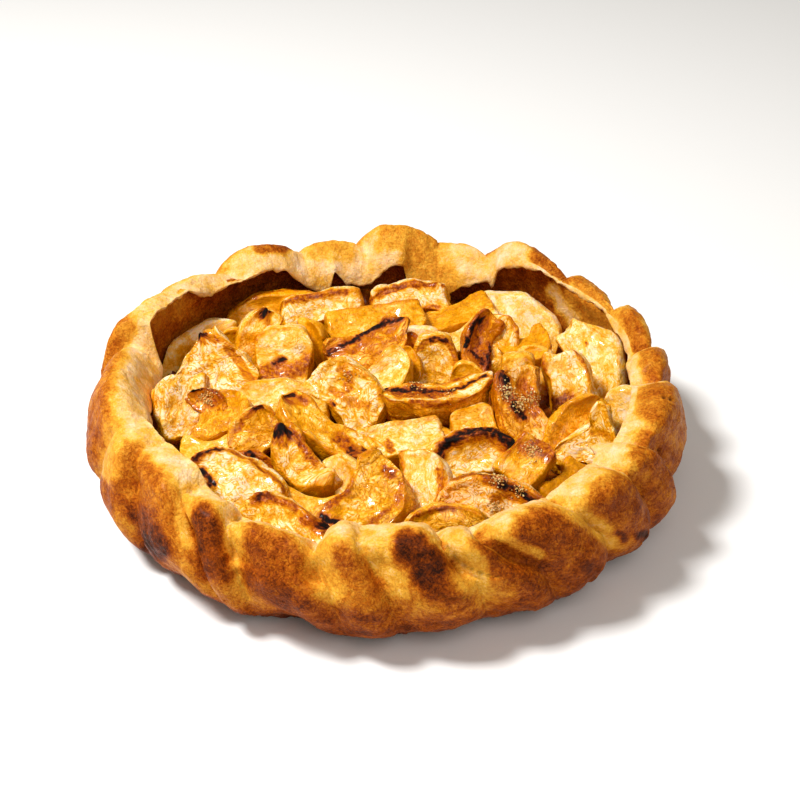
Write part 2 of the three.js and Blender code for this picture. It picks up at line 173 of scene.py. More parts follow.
class Surface:
    """A new material with one Principled shader, and short ways to wire up its nodes."""

    def __init__(self, name):
        self.material = bpy.data.materials.new(name)
        self.material.use_nodes = True
        self.tree = self.material.node_tree
        self.shader = self.tree.nodes["Principled BSDF"]

    def plug(self, socket, value):
        if isinstance(value, bpy.types.NodeSocket):
            self.tree.links.new(value, socket)
        else:
            socket.default_value = value

    def set(self, **values):
        for name, value in values.items():
            self.plug(self.shader.inputs[name.replace("_", " ")], value)

    def attribute(self, name, output="Fac"):
        node = self.tree.nodes.new("ShaderNodeAttribute")
        node.attribute_name = name
        return node.outputs[output]

    def noise(self, size, detail=2.0, rough=0.5, twist=0.0):
        """Noise of 0 to 1 whose blobs have the given size in mm."""
        node = self.tree.nodes.new("ShaderNodeTexNoise")
        self.plug(node.inputs["Vector"], self.attribute("own", "Vector"))
        self.plug(node.inputs["Scale"], 1 / size)
        self.plug(node.inputs["Detail"], detail)
        self.plug(node.inputs["Roughness"], rough)
        self.plug(node.inputs["Distortion"], twist)
        return node.outputs["Fac"]

    def math(self, operation, a, b=0.0, clamp=False):
        node = self.tree.nodes.new("ShaderNodeMath")
        node.operation = operation
        node.use_clamp = clamp
        self.plug(node.inputs[0], a)
        self.plug(node.inputs[1], b)
        return node.outputs[0]

    def times(self, a, b):
        return self.math("MULTIPLY", a, b)

    def total(self, first, *others):
        for other in others:
            first = self.math("ADD", first, other)
        return first

    def spread(self, value, low, high, new_low=0.0, new_high=1.0):
        """The value, moved from one range to another and clamped to it."""
        node = self.tree.nodes.new("ShaderNodeMapRange")
        for name, number in zip(
            ("Value", "From Min", "From Max", "To Min", "To Max"),
            (value, low, high, new_low, new_high),
        ):
            self.plug(node.inputs[name], number)
        return node.outputs[0]

    def lines(self, size, width, twist=1.0):
        """Thin winding lines: 1 on them and 0 between them."""
        off = self.math("ABSOLUTE", self.math("SUBTRACT", self.noise(size, 1.5, 0.5, twist), 0.5))
        return self.spread(off, 0.0, width, 1.0, 0.0)

    def ramp(self, value, stops):
        node = self.tree.nodes.new("ShaderNodeValToRGB")
        steps = node.color_ramp.elements
        while len(steps) < len(stops):
            steps.new(0.5)
        for step, (at, code) in zip(steps, stops):
            step.position = at
            step.color = colour(code)
        self.plug(node.inputs[0], value)
        return node.outputs["Color"]

    def mix(self, share, a, b):
        node = self.tree.nodes.new("ShaderNodeMix")
        node.data_type = "RGBA"
        self.plug(node.inputs[0], share)
        self.plug(node.inputs[6], a)
        self.plug(node.inputs[7], b)
        return node.outputs[2]

    def bump(self, height, depth, under=None):
        """A relief of the given depth in mm, over an earlier relief if there is one."""
        node = self.tree.nodes.new("ShaderNodeBump")
        self.plug(node.inputs["Height"], height)
        self.plug(node.inputs["Distance"], depth * MM)
        if under:
            self.plug(node.inputs["Normal"], under)
        return node.outputs[0]


def grain_share(surface, baked):
    """How rough the pastry's skin is: hardly at all in the pale folds."""
    return surface.spread(baked, 0.0, 0.5, 0.3, 1.0)


def crust_material():
    """Egg-washed pastry, from pale dough in the folds to dark brown where it baked most, with
    painted shade at the foot, a painted sheen on the crest and painted light on the inner wall.
    """
    surface = Surface("crust")
    baked = surface.attribute("baked")
    cloud = surface.spread(surface.noise(6, 3, 0.55), 0.3, 0.7, -0.1, 0.1)
    grain = surface.spread(surface.noise(1.3, 4, 0.7, 0.3), 0.32, 0.68, -0.11, 0.11)
    share = grain_share(surface, baked)
    crackle = surface.times(surface.lines(3.2, 0.05, 1.6), share)
    base = surface.ramp(
        surface.total(baked, cloud, surface.times(grain, share), surface.times(crackle, 0.09)),
        [
            (0.0, "FBDAB2"),
            (0.14, "F6C680"),
            (0.28, "EFAF38"),
            (0.42, "DA8E26"),
            (0.56, "C06A14"),
            (0.7, "9A4609"),
            (0.85, "682A07"),
            (1.0, "30150A"),
        ],
    )
    surface.set(Base_Color=surface.mix(surface.attribute("crack"), base, colour("5A2A08")))
    relief = surface.bump(surface.times(crackle, -1.0), 0.2)
    relief = surface.bump(surface.noise(4.5, 2), 0.9, relief)
    relief = surface.bump(surface.noise(1.5, 4, 0.65, 0.3), 0.75, relief)
    surface.set(
        Normal=relief,
        Roughness=surface.spread(surface.noise(4, 2), 0.3, 0.7, 0.34, 0.52),
        IOR=1.3,
        Specular_IOR_Level=0.08,
        Coat_Weight=surface.spread(surface.noise(9, 2), 0.4, 0.7, 0.0, 0.14),
        Coat_Roughness=0.3,
        Coat_IOR=1.35,
        Subsurface_Weight=surface.spread(baked, 0.1, 0.6, 0.2, 0.03),
        Subsurface_Radius=(1.0, 0.5, 0.1),
        Subsurface_Scale=1.8 * MM,
    )
    return surface.material


def fruit_material(name, pale, mid, deep, amber):
    """Baked apple: tone runs from pale to deep, with wrinkles, browned edges and burnt marks."""
    surface = Surface(name)
    wrinkle = surface.attribute("wrinkle")
    # Creases and wrinkle valleys are painted a deeper golden: painted shade in the creases.
    crease = surface.times(surface.lines(3.4, 0.075, 1.6), wrinkle)
    valley = surface.math("MAXIMUM", surface.attribute("valley"), crease)
    cloud = surface.spread(surface.noise(4.2, 3, 0.6, 0.6), 0.36, 0.64, -0.16, 0.18)
    grain = surface.spread(surface.noise(1.2, 3, 0.7), 0.34, 0.66, -0.12, 0.12)
    toast = surface.attribute("toast")
    char = surface.attribute("char")
    singed = surface.spread(surface.math("MAXIMUM", toast, char), 0.12, 0.7, 0.0, 0.9)
    mottle = surface.total(cloud, grain)
    tone = surface.total(surface.attribute("tone"), mottle, surface.times(valley, 0.66), singed)
    flesh = surface.ramp(tone, [(0.1, pale), (0.38, mid), (0.66, deep), (0.95, amber)])
    speck = surface.spread(surface.noise(1.5, 3, 0.7), 0.34, 0.66, -0.45, 0.45)
    toast = surface.math("ADD", toast, surface.times(speck, toast), clamp=True)
    brown = surface.ramp(
        toast, [(0.1, "E8960E"), (0.4, "C86C04"), (0.7, "9C4404"), (1.0, "521C04")]
    )
    skin = surface.mix(surface.spread(toast, 0.12, 0.6), flesh, brown)
    broken = surface.spread(surface.noise(2.2, 3, 0.6), 0.36, 0.64, -0.6, 0.5)
    char = surface.math("ADD", char, surface.times(broken, char), clamp=True)
    burnt = surface.ramp(char, [(0.3, "8E3A04"), (0.6, "4A1A06"), (0.95, "120A08")])
    skin = surface.mix(surface.spread(char, 0.12, 0.42), skin, burnt)
    relief = surface.bump(surface.times(crease, -1.0), 0.16)
    relief = surface.bump(surface.noise(2.6, 2, 0.5, 0.5), 0.6, relief)
    relief = surface.bump(surface.noise(0.9, 2), 0.32, relief)
    dull = surface.spread(surface.noise(3, 2), 0.3, 0.7, 0.2, 0.38)
    wet = surface.spread(surface.noise(5, 2), 0.48, 0.62, 0.0, 0.55)
    plain = surface.spread(char, 0.1, 0.5, 1.0, 0.1)
    dark = surface.math("MAXIMUM", toast, char)
    surface.set(
        Base_Color=skin,
        Normal=relief,
        Roughness=surface.math("MAXIMUM", dull, surface.spread(char, 0.1, 0.5, 0.0, 0.7)),
        Specular_IOR_Level=0.12,
        Coat_Weight=surface.times(wet, plain),
        Coat_Roughness=0.09,
        Subsurface_Weight=surface.spread(dark, 0.0, 0.6, 0.25, 0.02),
        Subsurface_Radius=(1.0, 0.55, 0.08),
        Subsurface_Scale=2.4 * MM,
    )
    return surface.material


def grain_material():
    """Coarse sugar that has melted and browned a little."""
    surface = Surface("sugar")
    tan = surface.ramp(surface.noise(1.5, 1), [(0.3, "A4641E"), (0.5, "DCA650"), (0.7, "F6DCA0")])
    surface.set(Base_Color=tan, Roughness=0.35, Subsurface_Weight=0.2, Subsurface_Scale=1 * MM)
    return surface.material


def floor_material():
    """A matt pale table top."""
    surface = Surface("table")
    tint = surface.ramp(surface.noise(60, 2), [(0.3, "F4F3F1"), (0.7, "F8F7F5")])
    surface.set(Base_Color=tint, Roughness=0.8, Specular_IOR_Level=0.2)
    return surface.material


# ---------------------------------------------------------------- pastry shell

BULGE_RADIUS = 139  # widest line of the crust, on a pleat
BULGE_HEIGHT = 26
BASE_RADIUS = 118
CREST_RADIUS = 126
WALL_RADIUS = 124
FLOOR_THICKNESS = 5
PLEAT_PEAK = 0.62
CENTRE = np.array([0.931, 0.251, 0])  # where the round's centre lies
RIM_COLUMNS = 800

# Each pleat, from the groove where it starts: its angle and slant in degrees, then in mm how
# high the groove, the crest and the lip are, how near the middle the lip comes, how far it is
# notched at the groove, how far the pleat swells, and how deep the groove is. Six rows, and
# the inner edge below, are not the solid's but were fitted closer.
PLEAT_SIZES = "at slant dip crest lip reach notch swell deep".split()
PLEATS = [
    (9, 7, 51, 59, 48, 117, 3, 0, 6.5),
    (27, 8, 51, 55.5, 52, 121, 3, 1, 6.5),
    (44, 8, 52, 62, 55, 116, 3, 0, 6.5),
    (65, 8, 50, 54, 49, 110, 1, 0, 6.5),
    (78, 8, 53, 63, 50, 110, 1, 0, 6.5),
    (96, 8, 51, 55, 49, 110, 1, 0, 6.5),
    (112, 8, 51, 61, 54, 111, 2, 0, 6.5),
    (132, 9, 52, 60, 59, 116, 6, 1.5, 6.5),
    (158, 9, 64, 63, 61, 117, 2, 2, 6.5),
    (169, 5, 51, 60, 57, 115, 6, 1, 10),
    (203, -3, 56, 59, 56, 113, 2, 1, 6.5),
    (212, 5, 55, 59, 56, 111, 1, 0, 6.5),
    (228, 8, 51, 55.5, 49, 114, 3, 0, 6.5),
    (239, 4, 48, 53, 45, 115, 3, 0, 6.5),
    (256, 4, 45, 57, 51, 110, 9, 0, 6.5),
    (265, 5, 54, 58, 52, 111, 1, 0, 6.5),
    (280, 6, 49, 54, 47, 111, 4, -1, 6.5),
    (287, 11, 50, 57, 50, 111, 3, 0, 6.5),
    (306, 7, 51, 58, 51, 110, 3, 0, 6.5),
    (322, 4, 51, 58, 50, 108, 4, 0, 6.5),
    (331, 6, 50, 59, 53, 111, 5, -1, 9),
    (357, 7, 49, 57, 47, 112, 4, -1, 9),
]
FLATS = [(227, 8, 6), (250, 9, 7), (284, 15, 5), (313, 11, 5)]  # middle, half width, depth

# The ragged inner edge of the rim at the back: angle and height.
BACK_LIP = [
    (20, 49), (29, 51), (36, 49), (41, 50), (46, 53.5), (49, 55.5), (53, 55), (58, 52.5),
    (61.3, 48), (62, 40), (62.6, 37.5), (63.2, 41.5), (66, 40.5), (70, 38), (72.5, 33), (76, 31),
    (84, 31), (85.3, 37), (86.4, 47), (88.3, 47.5), (91.8, 43.5), (95, 36.5), (98.6, 35),
    (102.7, 38.5), (105.4, 45), (107, 35), (109, 34), (112.6, 37), (115, 42), (118.6, 50),
    (123, 54), (126, 54), (131, 51.5), (137, 51.3), (141, 49.3), (149, 60), (152, 61),
    (158, 60), (162, 62), (166.5, 60), (168, 40), (172, 36), (184, 38), (196, 44),
]  # fmt: skip
LEFT_REACH = 110  # how near the middle the dough comes where it hangs down on the left
LIP_POINT = (327.5, 2.4, 6)  # a torn tip of dough: angle, half width and length


def rim_sizes(angle):
    """Every size of the rim at each angle, between the two grooves of its pleat."""
    table = dict(zip(PLEAT_SIZES, np.array(PLEATS, dtype=float).T))
    pleat = (np.searchsorted(table["at"], angle, side="right") - 1) % len(PLEATS)
    after = (pleat + 1) % len(PLEATS)
    width = (table["at"][after] - table["at"][pleat]) % 360
    share = (angle - table["at"][pleat]) % 360 / width
    rising = share < PLEAT_PEAK
    neighbour = np.where(rising, (pleat - 1) % len(PLEATS), after)
    groove = np.where(rising, pleat, after)
    up = 1 - (np.abs(PLEAT_PEAK - share) / PLEAT_PEAK) ** 2.2
    down = 1 - (np.abs(share - PLEAT_PEAK) / (1 - PLEAT_PEAK)) ** 2.8
    full = np.where(rising, up, down)
    side = 0.5 * (1 - full)
    crest = lerp(table["dip"][groove], table["crest"][pleat], full)
    lip = lerp(table["lip"][pleat], table["lip"][neighbour], side)
    lip = np.minimum(lip - table["notch"][groove] * (1 - full), crest - 1)
    back_angle, back_height = np.array(BACK_LIP).T
    at_back = band(angle, 20, 24, 196, 204)
    lip = lerp(lip, np.interp(angle, back_angle, back_height), at_back)
    reach = lerp(table["reach"][pleat], table["reach"][neighbour], side)
    swell = lerp(table["swell"][pleat], table["swell"][neighbour], side)
    at_left = band(angle, 166, 169, 196, 204)
    slant = lerp(table["slant"][pleat], table["slant"][after], share)
    flat = np.zeros(len(angle))
    for middle, spread, depth in FLATS:
        off = np.abs(angle + table["slant"][groove] - middle)
        flat = np.maximum(flat, depth * (1 - smoothstep(off, 0, spread)))
    return {
        "slant": slant,
        "full": full,
        "crest": crest,
        "lip": np.minimum(lip, crest - 0.5),
        "reach": lerp(reach, LEFT_REACH, at_left),
        "inset": (1 - full) * table["deep"][groove] - swell,
        "flat": flat,
        "thin": at_back * (1 - at_left),
    }


def shell_section(rim):
    """Rows of the section: radius, height, share of the slant and how many steps follow."""
    crest, lip, reach, inset, flat = (rim[k] for k in ("crest", "lip", "reach", "inset", "flat"))
    hang = np.maximum(0, crest - lip)
    thick = lerp(2.8, 1.3, rim["thin"])
    return [
        (0.0, 0.0, 1.5, 2),
        (BASE_RADIUS - 12, 0.0, 1.5, 5),
        (BASE_RADIUS - 1 - flat, 0.0, 1.5, 3),
        (BASE_RADIUS + 2 - flat, 0.8, 1.5, 6),
        (BASE_RADIUS + 6 - 0.1 * inset - flat, 3.5, 1.5, 13),
        (BULGE_RADIUS - 5 - 0.5 * inset - 0.9 * flat, 13.0, 1.4, 13),
        (BULGE_RADIUS - inset - 0.4 * flat, BULGE_HEIGHT, 1.15, 10),
        (BULGE_RADIUS - 1 - inset, 36.0, 0.9, 11),
        (BULGE_RADIUS - 4.5 - inset, crest - 11, 0.55, 9),
        (CREST_RADIUS + 5 - 0.6 * inset, crest - 3, 0.2, 7),
        (CREST_RADIUS - 1, crest, 0.0, 7),
        (lerp(CREST_RADIUS, reach, 0.45), crest - 0.16 * hang, 0.0, 8),
        (lerp(CREST_RADIUS, reach, 0.85), crest - 0.6 * hang, 0.0, 6),
        (reach, lip + 1, 0.0, 2),
        (reach + 0.4, lip - 0.3, 0.0, 2),
        (reach + thick, lip + 0.6, 0.0, 4),
        (lerp(CREST_RADIUS, reach, 0.5), np.maximum(lip, crest - 0.45 * hang - 7), 0.0, 4),
        (WALL_RADIUS - 3, np.maximum(lip, crest - 9) - 2, 0.0, 5),
        (WALL_RADIUS, 33.0, 0.0, 4),
        (WALL_RADIUS - 2, 14.0, 0.0, 2),
        (WALL_RADIUS - 14, FLOOR_THICKNESS, 0.0, 0),
    ]


def between(t, p, q, r, s):
    """The value a share t of the way from q to r, on a smooth curve through all four."""
    cubic = 3 * (q - r) + s - p
    return q + 0.5 * t * (r - p + t * (2 * p - 5 * q + 4 * r - s + t * cubic))


def curve_through(rows):
    """More rows on a smooth curve through those given, and each one's place among them."""
    padded = [rows[0], *rows, rows[-1]]
    made, place = [], []
    for k, start in enumerate(rows[:-1]):
        a, b, c, d = (row[:3] for row in padded[k : k + 4])
        for t in np.arange(int(start[3])) / start[3]:
            made.append([between(t, *values) for values in zip(a, b, c, d)])
            place.append(k + t)
    made.append(rows[-1][:3])
    place.append(len(rows) - 1)
    return made, np.array(place)


def grid_normals(points):
    """Normals of a grid of rows of points, each row a closed ring."""
    along = np.roll(points, -1, axis=1) - np.roll(points, 1, axis=1)
    normals = np.cross(along, np.gradient(points, axis=0))
    return normals / np.maximum(np.linalg.norm(normals, axis=2, keepdims=True), 1e-9)


def grid_faces(rows, columns):
    """The quads of a grid whose rows are closed rings."""
    start = np.arange(rows * columns).reshape(rows, columns)
    ring = np.roll(start, -1, axis=1)
    corners = [start[:-1], ring[:-1], ring[1:], start[1:]]
    return np.stack(corners, axis=-1).reshape(-1, 4)


angle = np.arange(RIM_COLUMNS) * 360 / RIM_COLUMNS
rim = rim_sizes(angle)
section, place = curve_through(shell_section(rim))
ones = np.ones(RIM_COLUMNS)
radius, height, turn = (np.array([row[k] * ones for row in section]) for k in range(3))
turned = np.radians(angle + turn * rim["slant"])
shell = np.stack([radius * np.cos(turned), radius * np.sin(turned), height], axis=2)
normals = grid_normals(shell).reshape(-1, 3)
points = shell.reshape(-1, 3)
row_place = np.repeat(place, RIM_COLUMNS)
grid_angle = np.tile(np.radians(angle), len(place))
full = np.tile(rim["full"], len(place))
thin = np.tile(rim["thin"], len(place))
high = points[:, 2]

# Rows by their place among those of the section.
FOOT_ROW, BULGE_ROW, SHOULDER_ROW, CREST_ROW, LIP_ROW, WALL_ROW = 3, 6, 8, 10, 14, 17
is_outside = band(row_place, FOOT_ROW - 0.6, FOOT_ROW + 0.5, CREST_ROW + 1.5, LIP_ROW)
near_lip = band(row_place, CREST_ROW, LIP_ROW - 1, LIP_ROW, WALL_ROW)

# Noise on the untwisted ring is drawn out along the pleats.
RING_RADIUS = 130
ROW_STEP = 2.6
ring = [RING_RADIUS * np.cos(grid_angle), RING_RADIUS * np.sin(grid_angle), ROW_STEP * row_place]
along = np.stack(ring, axis=1)
lumps = 1.1 * noise(points, 24, 1) + 0.5 * noise(points, 11, 2)
folds = ridges(warped(along, 14, 3, 3), 7, 4) * (0.25 + 0.75 * (1 - full))
blisters = smoothstep(noise(points, 8, 5), 0.12, 0.4)
rough = 0.16 * layered(points, 2.6, 2, 6)
ragged = (1 - smoothstep(high, 1, 13)) * is_outside
push = is_outside * (lumps - 0.9 * folds + 0.35 * blisters + rough)
push += ragged * 0.9 * layered(points, 6, 3, 8) + near_lip * 0.5 * noise(points, 5, 9)
wall = smoothstep(row_place, LIP_ROW + 1, WALL_ROW)
push += wall * 0.8 * noise(points, 13, 10)
points = points + normals * push[:, None]
on_lip = band(row_place, CREST_ROW + 2, LIP_ROW, LIP_ROW + 1, LIP_ROW + 3)
points[:, 2] += on_lip * (1.1 * layered(along, 7, 2, 11) + thin * 0.6 * noise(along, 2.5, 12))
tip_angle, tip_width, tip_length = LIP_POINT
off = (np.degrees(grid_angle) - tip_angle + 180) % 360 - 180
tip = np.clip(1 - np.abs(off) / tip_width, 0, 1) ** 1.3 * on_lip
inwards = -points * [1, 1, 0] / np.linalg.norm(points[:, :2], axis=1)[:, None].clip(1)
points += tip_length * tip[:, None] * inwards
points += CENTRE
points[:, 2] = points[:, 2].clip(0)

# Where the crust baked more or less than the height and the pleats tell: how brown, how
# wide and along which line of the frame's pixels.
BAKED_STROKES = [
    (0.66, 10, [(92, 408), (91, 440), (98, 470), (108, 496)]),
    (0.55, 8, [(131, 455), (134, 485)]),
    (0.98, 8, [(140, 510), (150, 530), (157, 548)]),
    (0.6, 12, [(146, 482), (160, 510)]),
    (0.84, 12, [(203, 524), (214, 562)]),
    (0.7, 18, [(254, 550), (280, 572), (300, 585)]),
    (0.78, 7, [(258, 580), (285, 600)]),
    (0.62, 13, [(345, 570), (375, 588), (395, 600)]),
    (0.74, 13, [(440, 580), (460, 588)]),
    (0.76, 14, [(495, 556), (535, 572)]),
    (0.74, 16, [(542, 532), (575, 555), (590, 566)]),
    (0.7, 17, [(620, 500), (642, 508), (652, 522)]),
    (0.9, 4, [(585, 566), (592, 568)]),
    (0.9, 4, [(618, 536), (622, 538)]),
    (0.95, 3, [(640, 537), (645, 535)]),
    (0.66, 13, [(652, 452), (668, 470)]),
    (0.58, 12, [(655, 402), (675, 425)]),
    (0.62, 8, [(652, 360), (662, 378)]),
    (0.64, 6, [(631, 318), (640, 342)]),
    (0.48, 9, [(585, 292), (608, 303)]),
    (0.68, 9, [(545, 256), (560, 274)]),
    (0.42, 12, [(398, 232), (425, 243)]),
    (0.72, 4, [(262, 246), (285, 246)]),
    (0.36, 7, [(318, 246), (345, 250)]),
    (0.52, 8, [(122, 325), (108, 360)]),
    (0.56, 9, [(100, 378), (90, 410)]),
    (0.26, 4, [(192, 486), (184, 500), (181, 520), (186, 545)]),
    (0.24, 5, [(228, 500), (232, 530), (236, 560)]),
    (0.28, 8, [(314, 532), (320, 565), (328, 595)]),
    (0.26, 6, [(362, 537), (380, 560), (398, 588)]),
    (0.26, 8, [(447, 532), (458, 552), (478, 572)]),
    (0.3, 10, [(455, 562), (470, 580)]),
    (0.36, 3, [(485, 526), (515, 542), (540, 556)]),
    (0.28, 5, [(563, 500), (588, 520), (612, 540)]),
    (0.3, 6, [(115, 430), (108, 470)]),
    # A darker band along the foot: browning and painted shade.
    (0.74, 9, [(300, 614), (350, 624), (400, 630), (460, 630), (520, 612), (575, 590), (612, 566)]),
    (0.95, 11, [(413, 548), (426, 560), (432, 572)]),
]
# The same for the shell's inner face, under the rim, which lies in shade: its paler strokes are
# painted light through the thin dough, and the palest is a painted sheen.
WALL_STROKES = [
    (0.36, 12, [(165, 312), (190, 302), (210, 296)]),
    (0.6, 9, [(165, 338), (200, 325)]),
    (0.74, 18, [(225, 300), (290, 285), (300, 283)]),
    (0.66, 16, [(330, 285), (400, 275)]),
    (0.66, 12, [(500, 280), (535, 285)]),
    (0.4, 14, [(580, 306), (600, 320), (614, 334)]),
    (0.1, 4, [(553, 290), (562, 305), (572, 320)]),
]
# The same for the dough that hangs down from the rim.
HANGING_STROKES = [(0.4, 9, [(415, 268), (432, 275), (446, 282)])]
CRACKS = [
    [(446, 545), (456, 558), (466, 567), (480, 573), (500, 577)],
    [(437, 595), (450, 599), (470, 597)],
]
DARK_DOTS = [(422, 533), (157, 289), (659, 450), (664, 397), (671, 399)]

pixels = to_pixels(points)
facing = smoothstep(normals @ TO_CAMERA, 0.0, 0.3) * (row_place < CREST_ROW + 2)
shoulder = band(row_place, BULGE_ROW - 2, SHOULDER_ROW, SHOULDER_ROW + 0.6, CREST_ROW + 0.6)

# How brown the crust is before the strokes, from pale dough at 0 to burnt at 1. At the foot this
# holds painted shade too, and over the crest a painted sheen.
FOOT_TONE_AND_SHADE, GROOVE_TONE, CREST_TONE_AND_SHEEN, WALL_TONE, UNSEEN_TONE = 0.86, 0.24, 0.16, 0.74, 0.72
# Darker towards the foot: partly browning, partly painted shade on the lower side.
baked = FOOT_TONE_AND_SHADE - 0.47 * smoothstep(high, 2, 28) + 0.1 * shoulder * full
baked = lerp(baked, GROOVE_TONE, (1 - full) ** 2 * smoothstep(high, 12, 30))
# Paler over the crest: partly pale dough, partly a painted sheen.
baked = lerp(baked, CREST_TONE_AND_SHEEN, smoothstep(row_place, CREST_ROW - 1.8, CREST_ROW + 0.6))
baked = lerp(baked, WALL_TONE, wall)
unseen = (1 - facing) * smoothstep(noise(points, 20, 23), -0.1, 0.4) * shoulder * full
baked = lerp(baked, UNSEEN_TONE, unseen)
baked += 0.07 * noise(points, 13, 20) * is_outside
wandering = pixels + 4 * np.stack([noise(points, 9, 24), noise(points, 9, 25)], axis=1)
mottled = 0.7 * layered(points, 6, 3, 26)
on_wall = (row_place > LIP_ROW + 1) * 1.0
hanging = (row_place > CREST_ROW + 1) * (row_place < LIP_ROW + 1) * 1.0
for strokes, where in (
    (BAKED_STROKES, facing),
    (WALL_STROKES, on_wall),
    (HANGING_STROKES, hanging),
):
    for target, wide, line in strokes:
        share = stroke(wandering, line, 2.6 * wide)
        share = (share + 2 * mottled * share * (1 - share)).clip(0, 1) * where
        baked = lerp(baked, target, 0.85 * share)
crack = np.zeros(len(points))
for line in CRACKS:
    crack = np.maximum(crack, 0.55 * stroke(pixels, line, 1.6))
for dot in DARK_DOTS:
    crack = np.maximum(crack, stroke(pixels, [dot], 2.4))
crack *= facing
points -= normals * (0.9 * crack)[:, None]

add_mesh(
    "pastry_shell",
    points,
    grid_faces(len(place), RIM_COLUMNS).tolist(),
    "crust",
    crust_material(),
    points,
    baked=baked.clip(0, 1.1),
    crack=crack,
)
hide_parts("crust")
